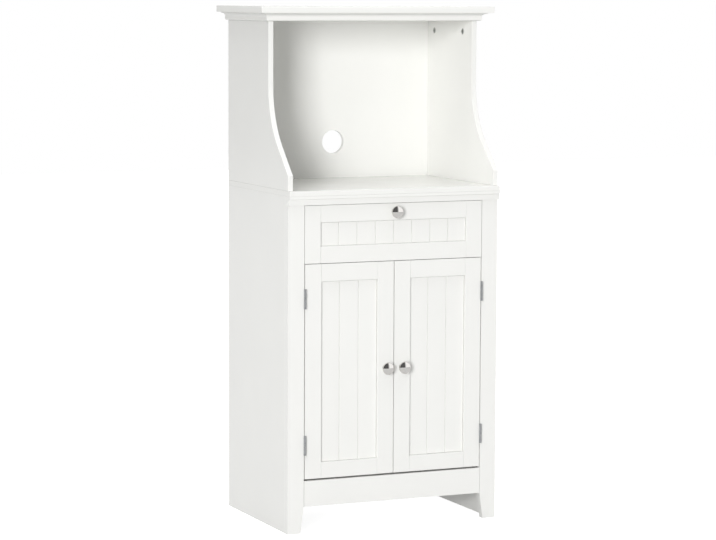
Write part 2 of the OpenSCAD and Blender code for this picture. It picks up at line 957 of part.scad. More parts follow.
module drawer_box_front() {
    color(INNER_WHITE) at_front() difference() {
        board([-box_half, frame_t, box_z], [box_half, frame_t + box_t, box_z + box_h]);
        box_bottom_space(groove_play);
        both_sides() at_front_screws() wood_screw_hole(screw_d, front_screw_l);
    }
}

module drawer_box_side() {
    color(INNER_WHITE) difference() {
        board([box_half - box_t, frame_t + box_t, box_z], [box_half, box_y, box_z + box_h]);
        box_bottom_space(groove_play);
        at_rail_screws() wood_screw_hole(screw_d, rail_screw_l);
    }
}

module drawer_box_left() {
    at_front() mirror([1, 0, 0]) drawer_box_side();
}

module drawer_box_right() {
    at_front() drawer_box_side();
}

module drawer_box_back() {
    inner = box_half - box_t;
    color(INNER_WHITE) at_front() {
        board(
            [-inner, box_y - box_t, box_bottom_z + box_bottom_t + groove_play],
            [inner, box_y, box_z + box_h]
        );
    }
}

module drawer_bottom() {
    color(INNER_WHITE) at_front() intersection() {
        box_bottom_space(0);
        board([-box_half, frame_t, box_z], [box_half, box_y - groove_play, box_z + box_h]);
    }
}

// The moving halves of the slides, screwed to the box
module drawer_slide_rails() {
    color(STEEL) at_front() both_sides() difference() {
        translate([box_half, frame_t + box_l, slide_z]) rotate([0, 0, 180]) channel(rail_h, slide_lip, box_l);
        at_rail_screws() wood_screw_hole(screw_d, rail_screw_l);
    }
}

module drawer_knob() {
    at_front() translate([0, 0, drawer_knob_z]) knob();
}

module drawer_screws() {
    color(ZINC) at_front() {
        translate([0, 0, drawer_knob_z]) knob_screw(0);
        both_sides() {
            at_front_screws() wood_screw(screw_d, front_screw_l);
            at_rail_screws() wood_screw(screw_d, rail_screw_l);
        }
    }
}

// ---- doors, drawn on the right and mirrored for the left ----

module hinge_stile() {
    color(WHITE) difference() {
        grooved_upright(door_far - door_frame_w, door_far, door_z, door_top, 0);
        at_door_hinge_screws() wood_screw_hole(hinge_screw_d, hinge_screw_l);
    }
}

module meeting_stile() {
    color(WHITE) difference() {
        grooved_upright(door_near, door_near + door_frame_w, door_z, door_top, door_far);
        translate([knob_x, 0, door_mid_z]) knob_screw(hole_play);
    }
}

module door_top_rail() {
    color(WHITE) difference() {
        grooved_rail(door_in[0], door_in[1], door_top - door_frame_w, door_top, door_z);
        at_strike_screw() wood_screw_hole(hinge_screw_d, hinge_screw_l);
    }
}

module door_bottom_rail() {
    color(WHITE) {
        grooved_rail(door_in[0], door_in[1], door_z, door_z + door_foot_w, door_top);
    }
}

module door_panel() {
    color(WHITE) beaded_panel(
        door_in[0], door_in[1],
        door_z + door_foot_w, door_top - door_frame_w, door_boards
    );
}

// The plate that the catch pulls on, fixed behind the door
module strike() {
    color(STEEL) difference() {
        board(
            [catch_x - catch_w / 2, frame_t, strike_z],
            [catch_x + catch_w * strike_end, frame_t + strike_t, strike_z + catch_h]
        );
        at_strike_screw() wood_screw_hole(hinge_screw_d, hinge_screw_l);
    }
}

module at_strike_screw() {
    translate([catch_x + catch_w * strike_screw, frame_t + strike_t, strike_z + catch_h / 2]) {
        rotate([-90, 0, 0]) children();
    }
}

module door_screws() {
    color(STEEL) {
        at_door_hinge_screws() wood_screw(hinge_screw_d, hinge_screw_l);
        at_strike_screw() wood_screw(hinge_screw_d, hinge_screw_l);
        translate([knob_x, 0, door_mid_z]) knob_screw(0);
    }
}

module door_knob() {
    translate([knob_x, 0, door_mid_z]) knob();
}

// A door piece on the left door, or on the right one
module on_left() {
    at_front() mirror([1, 0, 0]) children();
}

module on_right() {
    at_front() children();
}

lower_side_left();
lower_side_right();
front_stile_left();
front_stile_right();
apron();
cabinet_floor();
drawer_rails();
lower_back();
countertop();
counter_moulding();
upper_side_left();
upper_side_right();
upper_back();
top_panel();
crown_board();
crown_moulding_front();
crown_moulding_left();
crown_moulding_right();
shelf();
shelf_pins();
cam_locks();
cam_bolts();
counter_dowels();
slide_spacers();
slide_channels();
cabinet_screws();
hinge_frame_leaves();
hinge_pins();
magnetic_catches();
drawer_stile_left();
drawer_stile_right();
drawer_top_rail();
drawer_bottom_rail();
drawer_panel();
drawer_box_front();
drawer_box_left();
drawer_box_right();
drawer_box_back();
drawer_bottom();
drawer_slide_rails();
drawer_knob();
drawer_screws();
on_left() hinge_stile();  // left_hinge_stile
on_left() meeting_stile();  // left_meeting_stile
on_left() door_top_rail();  // left_top_rail
on_left() door_bottom_rail();  // left_bottom_rail
on_left() door_panel();  // left_panel
on_left() door_knob();  // left_knob
on_left() door_leaves();  // left_hinge_leaves
on_left() door_screws();  // left_door_screws
on_left() strike();  // left_strike
on_right() hinge_stile();  // right_hinge_stile
on_right() meeting_stile();  // right_meeting_stile
on_right() door_top_rail();  // right_top_rail
on_right() door_bottom_rail();  // right_bottom_rail
on_right() door_panel();  // right_panel
on_right() door_knob();  // right_knob
on_right() door_leaves();  // right_hinge_leaves
on_right() door_screws();  // right_door_screws
on_right() strike();  // right_strike
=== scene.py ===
"""A white painted microwave stand in a pale studio: finishes, softened edges, beading, knobs and fittings."""

import json
import math

import bmesh
import bpy
from mathutils import Matrix, Vector


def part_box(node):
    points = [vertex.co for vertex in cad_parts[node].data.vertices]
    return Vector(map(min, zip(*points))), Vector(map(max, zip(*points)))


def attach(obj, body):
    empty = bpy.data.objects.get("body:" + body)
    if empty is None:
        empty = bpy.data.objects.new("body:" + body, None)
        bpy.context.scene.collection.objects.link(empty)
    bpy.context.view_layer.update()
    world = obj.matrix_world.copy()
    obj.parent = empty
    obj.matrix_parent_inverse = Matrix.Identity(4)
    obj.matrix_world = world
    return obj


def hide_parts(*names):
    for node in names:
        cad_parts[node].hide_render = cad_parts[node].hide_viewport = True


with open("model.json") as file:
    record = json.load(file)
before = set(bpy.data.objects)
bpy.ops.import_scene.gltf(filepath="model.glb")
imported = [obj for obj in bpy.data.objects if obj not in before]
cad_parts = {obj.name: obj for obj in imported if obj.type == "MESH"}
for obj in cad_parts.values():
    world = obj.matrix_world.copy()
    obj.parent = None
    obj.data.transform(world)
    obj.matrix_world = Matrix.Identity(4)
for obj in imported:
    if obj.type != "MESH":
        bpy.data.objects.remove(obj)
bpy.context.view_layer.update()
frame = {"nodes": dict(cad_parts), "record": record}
NODES = frame["nodes"]
MM = 0.001

# ---- the camera, as the photograph was taken ----
CAMERA_PLACE = (-2.6755, -6.0111, 1.3264)
CAMERA_YAW = 23.874
CAMERA_PITCH = -6.115
CAMERA_ROLL = 0.253
CAMERA_LENS = 131.66
CAMERA_SENSOR = 36.0
CAMERA_SIGHT = 100

# ---- the studio ----
AIM = (0, 0, 0.75)
# each softbox: degrees to the left of the front, degrees up, metres away, its size, watts
SOFTBOXES = {
    "key": (37, 6, 20, (5.0, 8.0), 3260),
    "side": (75, 70, 14, (6.2, 6.2), 330),
    "top": (0, 75, 14, (6.2, 6.2), 110),
    "rear": (200, 40, 14, (6.2, 6.2), 400),
}
# how bright the room is at eye level, and how much brighter overhead
ROOM, CEILING = 0.02, 0.88
# the chrome mirrors a dim corner and a bright sheet; the sheet fades in between two sines of the
# angle to the right of the stand's front
DIM_CORNER, BRIGHT_SHEET = 0.12, 1.2
SHEET_FROM, SHEET_TO = 0.1, 0.45
FLOOR_HALF = 12
FLOOR_LIFT, FLOOR_MIRRORED = 0.9, 0.25

# ---- sizes of what the scene makes itself ----
PAINTED_EDGE = 0.4 * MM
PANEL_EDGE = 1.0 * MM
BOARD_EDGE = 0.6 * MM
METAL_EDGE = 0.25 * MM
JOINT_LINE = 0.4 * MM
APRON_LINE = 1.0 * MM
BEAD_WIDTH = 2.0 * MM
BEAD_DEPTH = 2.2 * MM
BEAD_FOOT = 0.7
BEAD_COLUMN = 0.2 * MM
PANEL_TONGUE = 7.8 * MM
PANEL_STEP = 2.4 * MM
PANEL_STEP_RUN = 0.1 * MM
PANEL_REVEAL = 1.2 * MM
SHARP = math.radians(35)
SHORTEST_EASED = 6 * MM
DRAWER_BOARDS = 8
DOOR_BOARDS = 3
KNOB_SEGMENTS = 96
SCREW_SEGMENTS = 32


def hex_colour(code):
    """An sRGB hex colour as linear RGBA."""
    channels = [int(code[i:i + 2], 16) / 255 for i in (1, 3, 5)]
    linear = [c / 12.92 if c <= 0.04045 else ((c + 0.055) / 1.055) ** 2.4 for c in channels]
    return (*linear, 1.0)


def add(tree, kind, inputs=None, **settings):
    """Adds a node with its settings; an input is given a value or linked from a socket."""
    node = tree.nodes.new(kind)
    for name, value in settings.items():
        setattr(node, name, value)
    for name, value in (inputs or {}).items():
        if isinstance(value, bpy.types.NodeSocket):
            tree.links.new(value, node.inputs[name])
        else:
            node.inputs[name].default_value = value
    return node


def new_material(name):
    """An empty material, its tree and its shader."""
    material = bpy.data.materials.new(name)
    material.use_nodes = True
    tree = material.node_tree
    tree.nodes.clear()
    shader = add(tree, "ShaderNodeBsdfPrincipled")
    output = add(tree, "ShaderNodeOutputMaterial", {"Surface": shader.outputs["BSDF"]})
    output.is_active_output = True
    return material, tree, shader


def set_shader(tree, shader, **values):
    """Sets the shader's own sockets, with underscores for the spaces in their names."""
    for name, value in values.items():
        socket = shader.inputs[name.replace("_", " ")]
        if isinstance(value, bpy.types.NodeSocket):
            tree.links.new(value, socket)
        else:
            socket.default_value = value


# ---- finishes ----

def satin_painted_fibreboard():
    """Sprayed satin enamel on fibreboard: close to white, with a fine orange peel about 2 mm across
    and slow, barely visible changes of tone over a hand's width. It is smooth enough that a board
    seen at a low angle mirrors what stands behind it."""
    material, tree, shader = new_material("satin_painted_fibreboard")
    place = add(tree, "ShaderNodeTexCoord").outputs["Object"]
    slow = add(tree, "ShaderNodeTexNoise", {"Vector": place, "Scale": 1 / (111 * MM), "Detail": 2.0})
    tone = add(
        tree, "ShaderNodeMix", {0: slow.outputs["Fac"], 6: hex_colour("#F4F4F1"), 7: hex_colour("#F0F0ED")},
        data_type="RGBA",
    )
    peel = add(tree, "ShaderNodeTexNoise", {"Vector": place, "Scale": 1 / (2 * MM), "Detail": 1.0})
    sheen = add(
        tree, "ShaderNodeMapRange",
        {"Value": slow.outputs["Fac"], "To Min": 0.18, "To Max": 0.24},
    )
    bump = add(
        tree, "ShaderNodeBump",
        {"Height": peel.outputs["Fac"], "Strength": 0.12, "Distance": 0.15 * MM},
    )
    set_shader(
        tree, shader, Base_Color=tone.outputs[2], Roughness=sheen.outputs["Result"],
        Normal=bump.outputs["Normal"], IOR=1.5,
    )
    return material


def laminated_board():
    """White melamine board for what stays inside: flatter than the paint, with the fine pebble
    that the press plate leaves, about 1 mm across."""
    material, tree, shader = new_material("white_melamine_board")
    place = add(tree, "ShaderNodeTexCoord").outputs["Object"]
    pebble = add(tree, "ShaderNodeTexVoronoi", {"Vector": place, "Scale": 1 / (1.1 * MM)})
    slow = add(tree, "ShaderNodeTexNoise", {"Vector": place, "Scale": 1 / (200 * MM), "Detail": 1.0})
    tone = add(
        tree, "ShaderNodeMix", {0: slow.outputs["Fac"], 6: hex_colour("#F2F2EE"), 7: hex_colour("#EDEDE9")},
        data_type="RGBA",
    )
    bump = add(
        tree, "ShaderNodeBump",
        {"Height": pebble.outputs["Distance"], "Strength": 0.15, "Distance": 0.1 * MM},
    )
    set_shader(
        tree, shader, Base_Color=tone.outputs[2], Roughness=0.46, Normal=bump.outputs["Normal"],
        IOR=1.5,
    )
    return material


def polished_chrome():
    """Bright chromium plate on a turned knob: a mirror with only the faintest haze, which comes and
    goes over about 6 mm as handling leaves it."""
    material, tree, shader = new_material("polished_chrome")
    place = add(tree, "ShaderNodeTexCoord").outputs["Object"]
    haze = add(tree, "ShaderNodeTexNoise", {"Vector": place, "Scale": 1 / (6.25 * MM), "Detail": 2.0})
    gloss = add(
        tree, "ShaderNodeMapRange", {"Value": haze.outputs["Fac"], "To Min": 0.05, "To Max": 0.11},
    )
    set_shader(
        tree, shader, Base_Color=hex_colour("#DEDCD9"), Metallic=1.0, Roughness=gloss.outputs["Result"],
    )
    return material


def plated_metal(name, colour, rough_low, rough_high, grain):
    """Plated metal: a grain of the given width, drawn out to soft streaks 20 times as long along Z."""
    material, tree, shader = new_material(name)
    place = add(tree, "ShaderNodeTexCoord").outputs["Object"]
    streak = add(tree, "ShaderNodeMapping", {
        "Vector": place, "Scale": (1 / grain, 1 / grain, 1 / (20 * grain)),
    })
    noise = add(tree, "ShaderNodeTexNoise", {"Vector": streak.outputs["Vector"], "Scale": 1.0, "Detail": 3.0})
    rough = add(
        tree, "ShaderNodeMapRange",
        {"Value": noise.outputs["Fac"], "To Min": rough_low, "To Max": rough_high},
    )
    bump = add(
        tree, "ShaderNodeBump", {"Height": noise.outputs["Fac"], "Strength": 0.2, "Distance": 0.03 * MM},
    )
    set_shader(
        tree, shader, Base_Color=hex_colour(colour), Metallic=1.0, Roughness=rough.outputs["Result"],
        Normal=bump.outputs["Normal"],
    )
    return material


def turned_beech():
    """Fluted dowel stock in beech: flecks about 1 mm wide and 11 mm long, along the grain."""
    material, tree, shader = new_material("turned_beech")
    place = add(tree, "ShaderNodeTexCoord").outputs["Object"]
    across, grain = 1 / (1.11 * MM), 1 / (11.1 * MM)
    along = add(tree, "ShaderNodeMapping", {"Vector": place, "Scale": (across, across, grain)})
    fleck = add(tree, "ShaderNodeTexNoise", {"Vector": along.outputs["Vector"], "Scale": 1.0, "Detail": 3.0})
    tone = add(
        tree, "ShaderNodeMix", {0: fleck.outputs["Fac"], 6: hex_colour("#DDBD91"), 7: hex_colour("#B98F5E")},
        data_type="RGBA",
    )
    set_shader(tree, shader, Base_Color=tone.outputs[2], Roughness=0.6)
    return material


def moulded_plastic():
    """Black injection-moulded plastic with a fine spark-eroded grain of about half a millimetre."""
    material, tree, shader = new_material("moulded_plastic")
    place = add(tree, "ShaderNodeTexCoord").outputs["Object"]
    grain = add(tree, "ShaderNodeTexNoise", {"Vector": place, "Scale": 1 / (0.5 * MM), "Detail": 2.0})
    bump = add(
        tree, "ShaderNodeBump", {"Height": grain.outputs["Fac"], "Strength": 0.3, "Distance": 0.05 * MM},
    )
    set_shader(tree, shader, Base_Color=hex_colour("#2B2C2E"), Roughness=0.45, Normal=bump.outputs["Normal"])
    return material


PAINT = satin_painted_fibreboard()
BOARD = laminated_board()
CHROME = polished_chrome()
STEEL = plated_metal("nickel_plated_steel", "#B9BBBD", 0.22, 0.34, 0.6 * MM)
ZINC = plated_metal("zinc_plated_steel", "#C3C5C2", 0.3, 0.45, 0.8 * MM)
CAST = plated_metal("cast_zinc", "#B4B6B4", 0.35, 0.5, 1.2 * MM)
BEECH = turned_beech()
PLASTIC = moulded_plastic()


# ---- helpers for pieces ----

def body_of_node(node):
    """The CAD body that holds a node."""
    bodies = frame["record"]["behaviour"]["bodies"]
    return next(body for body, members in bodies.items() if node in members)


def settle(piece, node, material, *more):
    """Gives a finished piece its material and its body, and hides the CAD nodes that it stands for."""
    piece.data.materials.clear()
    piece.data.materials.append(material)
    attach(piece, body_of_node(node))
    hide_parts(node, *more)
    return piece


def link_mesh(name, mesh):
    """A new object in the scene that shows a mesh."""
    piece = bpy.data.objects.new(name, mesh)
    bpy.context.scene.collection.objects.link(piece)
    return piece


def mesh_from(name, bm):
    """Turns a bmesh into a mesh."""
    mesh = bpy.data.meshes.new(name)
    bm.to_mesh(mesh)
    bm.free()
    return mesh


def merged_copy(node):
    """A bmesh of a CAD node with its triangles merged and its flat faces made whole."""
    bm = bmesh.new()
    bm.from_mesh(NODES[node].data)
    bmesh.ops.remove_doubles(bm, verts=bm.verts, dist=1e-6)
    bmesh.ops.dissolve_limit(
        bm, angle_limit=math.radians(0.5), verts=bm.verts, edges=bm.edges, use_dissolve_boundaries=False,
    )
    bmesh.ops.recalc_face_normals(bm, faces=bm.faces)
    bm.normal_update()
    return bm


def soften(piece, edge, segments, limit="ANGLE"):
    """Rounds a piece's sharp edges over, and keeps its broad faces flat to the eye."""
    for polygon in piece.data.polygons:
        polygon.use_smooth = True
    bevel = piece.modifiers.new("edge", "BEVEL")
    bevel.width = edge
    bevel.segments = segments
    bevel.limit_method = limit
    bevel.angle_limit = SHARP
    bevel.use_clamp_overlap = True
    flat = piece.modifiers.new("flat faces", "WEIGHTED_NORMAL")
    flat.mode = "FACE_AREA"
    flat.weight = 50
    flat.keep_sharp = True


def weigh_edges(bm, crisp):
    """Sets which sharp edges get rounded over; those picked by crisp stay as they are."""
    weights = bm.edges.layers.float.new("bevel_weight_edge")
    for edge in bm.edges:
        sharp = edge.calc_face_angle(0.0) >= SHARP
        edge.smooth = not (sharp and crisp(edge))
        edge[weights] = 1.0 if sharp and edge.smooth else 0.0


def softened(node, material, edge, suffix, segments=3):
    """A CAD node with its sharp edges rounded over, as paint, sanding or a tumbler leaves them."""
    piece = link_mesh(f"{node}_{suffix}", mesh_from(node, merged_copy(node)))
    soften(piece, edge, segments)
    return settle(piece, node, material)


def jointed_rail(node, left, right, line):
    """A painted rail between two uprights. Its ends stay sharp and stop a hair short of them, which
    is the fine line that shows through the paint at such a joint."""
    joints = (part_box(left)[1].x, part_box(right)[0].x)
    middle = sum(joints) / 2
    bm = merged_copy(node)
    ends = [v for v in bm.verts if min(abs(v.co.x - joint) for joint in joints) < 0.02 * MM]
    for vertex in ends:
        vertex.co.x -= math.copysign(line, vertex.co.x - middle)
    weigh_edges(bm, lambda edge: all(v in ends for v in edge.verts))
    piece = link_mesh(f"{node}_painted", mesh_from(node, bm))
    soften(piece, PAINTED_EDGE, 3, limit="WEIGHT")
    return settle(piece, node, PAINT)


def eased_panel(node):
    """A painted board whose long edges are eased, so that its joints show as fine grooves; the
    rims of the small holes in it stay crisp."""
    bm = merged_copy(node)
    weigh_edges(bm, lambda edge: edge.calc_length() < SHORTEST_EASED)
    piece = link_mesh(f"{node}_painted", mesh_from(node, bm))
    soften(piece, PANEL_EDGE, 3, limit="WEIGHT")
    return settle(piece, node, PAINT)


def shells(node):
    """The separate solids of a node, each as a list of its points."""
    bm = bmesh.new()
    bm.from_mesh(NODES[node].data)
    bmesh.ops.remove_doubles(bm, verts=bm.verts, dist=1e-6)
    seen, found = set(), []
    for start in bm.verts:
        if start in seen:
            continue
        seen.add(start)
        group, queue = [], [start]
        while queue:
            vertex = queue.pop()
            group.append(vertex.co.copy())
            for edge in vertex.link_edges:
                other = edge.other_vert(vertex)
                if other not in seen:
                    seen.add(other)
                    queue.append(other)
        found.append(group)
    bm.free()
    return found


def shaft(points):
    """A turned solid's wide end, the direction out of that end, its widest radius and its length."""
    low = Vector([min(p[i] for p in points) for i in range(3)])
    high = Vector([max(p[i] for p in points) for i in range(3)])
    size, middle = high - low, (low + high) / 2
    axis = max(range(3), key=lambda i: size[i])
    sides = [i for i in range(3) if i != axis]

    def width(p):
        return math.hypot(*(p[i] - middle[i] for i in sides))

    widest = max(width(p) for p in points)
    wide = [p[axis] for p in points if width(p) > 0.95 * widest]
    at_high = sum(wide) / len(wide) > middle[axis]
    head = middle.copy()
    head[axis] = high[axis] if at_high else low[axis]
    out = Vector((0, 0, 0))
    out[axis] = 1 if at_high else -1
    return head, out, widest, size[axis]


def revolved(name, profile, segments):
    """A closed solid of revolution about +Z from (radius, height) points, ends on the axis."""
    bm = bmesh.new()
    rings = []
    for radius, height in profile:
        if radius < 1e-7:
            rings.append([bm.verts.new((0, 0, height))])
        else:
            turns = [2 * math.pi * i / segments for i in range(segments)]
            rings.append([bm.verts.new((radius * math.cos(t), radius * math.sin(t), height)) for t in turns])
    for low, high in zip(rings, rings[1:]):
        for i in range(segments):
            j = (i + 1) % segments
            corners = [low[i % len(low)], low[j % len(low)], high[j % len(high)], high[i % len(high)]]
            unique = list(dict.fromkeys(corners))
            if len(unique) > 2:
                bm.faces.new(unique)
    bmesh.ops.recalc_face_normals(bm, faces=bm.faces)
    for face in bm.faces:
        face.smooth = True
    return mesh_from(name, bm)


# ---- Geometry Nodes ----

def node_group(name, inputs):
    """A geometry tree with a geometry output and named inputs given as (name, socket type)."""
    tree = bpy.data.node_groups.new(name, "GeometryNodeTree")
    tree.interface.new_socket("Geometry", in_out="INPUT", socket_type="NodeSocketGeometry")
    tree.interface.new_socket("Geometry", in_out="OUTPUT", socket_type="NodeSocketGeometry")
    for label, kind in inputs:
        tree.interface.new_socket(label, in_out="INPUT", socket_type=kind)
    start = add(tree, "NodeGroupInput")
    end = add(tree, "NodeGroupOutput")
    return tree, start, end


def grow(carrier, tree, values):
    """Runs a geometry tree on a carrier object and returns the result as a plain mesh."""
    modifier = carrier.modifiers.new("grow", "NODES")
    modifier.node_group = tree
    for item in tree.interface.items_tree:
        if item.in_out == "INPUT" and item.name in values:
            modifier[item.identifier] = values[item.name]
    bpy.context.view_layer.update()
    evaluated = carrier.evaluated_get(bpy.context.evaluated_depsgraph_get())
    mesh = bpy.data.meshes.new_from_object(evaluated)
    carrier.modifiers.remove(modifier)
    return mesh


def beading_tree():
    """A raised field of boards: a fine grid whose columns sink at each joint, stepped down all
    round to the tongue that its frame holds, and closed by a flat back at the panel's thickness."""
    tree, start, end = node_group("beaded_boards", [
        ("Width", "NodeSocketFloat"), ("Height", "NodeSocketFloat"), ("Thickness", "NodeSocketFloat"),
        ("Boards", "NodeSocketInt"), ("Columns", "NodeSocketInt"), ("Tongue", "NodeSocketFloat"),
        ("Reveal", "NodeSocketFloat"), ("Step", "NodeSocketFloat"),
        ("Bead Width", "NodeSocketFloat"), ("Bead Depth", "NodeSocketFloat"),
        ("Finish", "NodeSocketMaterial"),
    ])
    given = start.outputs

    def maths(operation, *values):
        return add(tree, "ShaderNodeMath", dict(enumerate(values)), operation=operation).outputs[0]

    def split(vector):
        return add(tree, "ShaderNodeSeparateXYZ", {"Vector": vector}).outputs

    def vector(**parts):
        return add(tree, "ShaderNodeCombineXYZ", parts).outputs[0]

    half_width = maths("MULTIPLY", given["Width"], 0.5)
    half_height = maths("MULTIPLY", given["Height"], 0.5)
    far_x = maths("ADD", half_width, given["Tongue"])
    far_y = maths("ADD", half_height, given["Tongue"])
    field_x = maths("SUBTRACT", half_width, given["Reveal"])
    field_y = maths("SUBTRACT", half_height, given["Reveal"])
    grid = add(tree, "GeometryNodeMeshGrid", {
        "Size X": maths("MULTIPLY", far_x, 2.0), "Size Y": 5.0,
        "Vertices X": given["Columns"], "Vertices Y": 6,
    })
    here = split(add(tree, "GeometryNodeInputPosition").outputs[0])

    # the six rows, 1 apart as the grid makes them: two go to the ends of the tongues, two to the
    # foot of the step and two to its edge
    row = maths("ABSOLUTE", here["Y"])
    off_field = maths("GREATER_THAN", row, 1.0)
    at_end = maths("GREATER_THAN", row, 2.0)
    foot_y = maths("MULTIPLY_ADD", off_field, PANEL_STEP_RUN, field_y)
    row_y = maths("MULTIPLY_ADD", at_end, maths("SUBTRACT", far_y, foot_y), foot_y)
    stepped = maths("MAXIMUM", off_field, maths("GREATER_THAN", maths("ABSOLUTE", here["X"]), field_x))

    # the grooves, one at each joint between two boards, each with a flat foot and sloping sides
    pitch = maths("DIVIDE", given["Width"], given["Boards"])
    count = maths("DIVIDE", maths("ADD", here["X"], half_width), pitch)
    last_joint = maths("SUBTRACT", given["Boards"], 1.0)
    nearest = maths("MINIMUM", maths("MAXIMUM", maths("ROUND", count), 1.0), last_joint)
    offset = maths("MULTIPLY", maths("ABSOLUTE", maths("SUBTRACT", count, nearest)), pitch)
    half_bead = maths("MULTIPLY", given["Bead Width"], 0.5)
    sunk = add(tree, "ShaderNodeMapRange", {
        "Value": offset, "From Min": maths("MULTIPLY", half_bead, BEAD_FOOT), "From Max": half_bead,
        "To Min": given["Bead Depth"], "To Max": 0.0,
    })
    depth = maths("MAXIMUM", sunk.outputs[0], maths("MULTIPLY", stepped, given["Step"]))
    signed_y = maths("MULTIPLY", row_y, maths("SIGN", here["Y"]))
    front = add(tree, "GeometryNodeSetPosition", {
        "Geometry": grid.outputs["Mesh"],
        "Position": vector(X=here["X"], Y=signed_y, Z=maths("MULTIPLY", depth, -1.0)),
    })

    # the back
    back_z = maths("MULTIPLY", given["Thickness"], -1.0)
    swept = add(tree, "GeometryNodeExtrudeMesh", {
        "Mesh": front.outputs[0], "Individual": False, "Offset": vector(Z=back_z), "Offset Scale": 1.0,
    }, mode="FACES")
    there = split(add(tree, "GeometryNodeInputPosition").outputs[0])
    flat = add(tree, "GeometryNodeSetPosition", {
        "Geometry": swept.outputs["Mesh"], "Selection": swept.outputs["Top"],
        "Position": vector(X=there["X"], Y=there["Y"], Z=back_z),
    })
    turned = add(tree, "GeometryNodeFlipFaces", {"Mesh": flat.outputs[0]})
    both = add(tree, "GeometryNodeJoinGeometry", {})
    tree.links.new(turned.outputs[0], both.inputs[0])
    tree.links.new(front.outputs[0], both.inputs[0])
    closed = add(tree, "GeometryNodeMergeByDistance", {"Geometry": both.outputs[0], "Distance": 1e-6})
    real = add(tree, "GeometryNodeRealizeInstances", {"Geometry": closed.outputs[0]})
    dressed = add(tree, "GeometryNodeSetMaterial", {"Geometry": real.outputs[0], "Material": given["Finish"]})
    tree.links.new(dressed.outputs[0], end.inputs[0])
    return tree


def fitting_tree():
    """Sets one turned fitting on every point of its carrier, along the point's own turn, at the
    point's own width and length."""
    tree, start, end = node_group("rows_of_fittings", [
        ("Fitting", "NodeSocketObject"), ("Finish", "NodeSocketMaterial"),
    ])
    shape = add(tree, "GeometryNodeObjectInfo", {"Object": start.outputs["Fitting"]})
    turn = add(tree, "GeometryNodeInputNamedAttribute", {"Name": "turn"}, data_type="FLOAT_VECTOR")
    size = add(tree, "GeometryNodeInputNamedAttribute", {"Name": "size"}, data_type="FLOAT_VECTOR")
    rotation = add(tree, "FunctionNodeEulerToRotation", {"Euler": turn.outputs["Attribute"]})
    rows = add(tree, "GeometryNodeInstanceOnPoints", {
        "Points": start.outputs["Geometry"], "Instance": shape.outputs["Geometry"],
        "Rotation": rotation.outputs[0], "Scale": size.outputs["Attribute"],
    })
    real = add(tree, "GeometryNodeRealizeInstances", {"Geometry": rows.outputs[0]})
    dressed = add(tree, "GeometryNodeSetMaterial", {
        "Geometry": real.outputs[0], "Material": start.outputs["Finish"],
    })
    tree.links.new(dressed.outputs[0], end.inputs[0])
    return tree


# ---- beaded panels ----

def beaded_panel(node, boards, tree):
    """A panel of boards that keeps the CAD panel's box, tongues included."""
    low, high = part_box(node)
    carrier = link_mesh(f"{node}_carrier", bpy.data.meshes.new("carrier"))
    full = high.x - low.x
    mesh = grow(carrier, tree, {
        "Width": full - 2 * PANEL_TONGUE, "Height": high.z - low.z - 2 * PANEL_TONGUE,
        "Thickness": high.y - low.y, "Boards": boards, "Columns": round(full / BEAD_COLUMN) + 1,
        "Tongue": PANEL_TONGUE, "Reveal": PANEL_REVEAL, "Step": PANEL_STEP,
        "Bead Width": BEAD_WIDTH, "Bead Depth": BEAD_DEPTH, "Finish": PAINT,
    })
    bpy.data.objects.remove(carrier)
    middle = Vector(((low.x + high.x) / 2, low.y, (low.z + high.z) / 2))
    mesh.transform(Matrix.Translation(middle) @ Matrix.Rotation(math.radians(90), 4, "X"))
    return settle(link_mesh(f"{node}_boards", mesh), node, PAINT)


# ---- knobs ----

def knob_profile(radius, reach):
    """A turned mushroom knob: a seat, a waisted neck, a crisp rim and a low domed face."""
    seat, neck, rim_z, rim_r = 8.5 * MM, 5.4 * MM, 0.62 * reach, 1.3 * MM
    seat_z, seat_edge, fillet = 2.1 * MM, 0.5 * MM, 4 * MM
    points = [(0, 0), (seat - 0.4 * MM, 0), (seat, 0.4 * MM), (seat, 1.6 * MM), (seat - seat_edge, seat_z)]
    points += [(neck + (seat - neck - seat_edge) * (1 - math.sin(t)), seat_z + fillet * (1 - math.cos(t)))
               for t in (math.radians(a) for a in range(15, 91, 15))]
    flare_z = seat_z + fillet
    points += [(neck + (radius - rim_r - neck) * (1 - math.cos(t)), flare_z + (rim_z - flare_z) * math.sin(t))
               for t in (math.radians(a) for a in range(10, 91, 8))]
    points += [(radius - rim_r + rim_r * math.sin(t), rim_z + rim_r * (1 - math.cos(t)))
               for t in (math.radians(a) for a in range(15, 91, 15))]
    dome_z = rim_z + rim_r
    points += [(radius * math.cos(t), dome_z + (reach - dome_z) * math.sin(t))
               for t in (math.radians(a) for a in range(6, 90, 6))]
    points.append((0, reach))
    return points


def chrome_knob(node):
    """A turned knob that keeps the CAD knob's width and reach."""
    low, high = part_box(node)
    radius, reach = (high.x - low.x) / 2, high.y - low.y
    mesh = revolved(node, knob_profile(radius, reach), KNOB_SEGMENTS)
    middle = Vector(((low.x + high.x) / 2, high.y, (low.z + high.z) / 2))
    mesh.transform(Matrix.Translation(middle) @ Matrix.Rotation(math.radians(90), 4, "X"))
    return settle(link_mesh(f"{node}_turned", mesh), node, CHROME)


# ---- screws, cams and pins ----

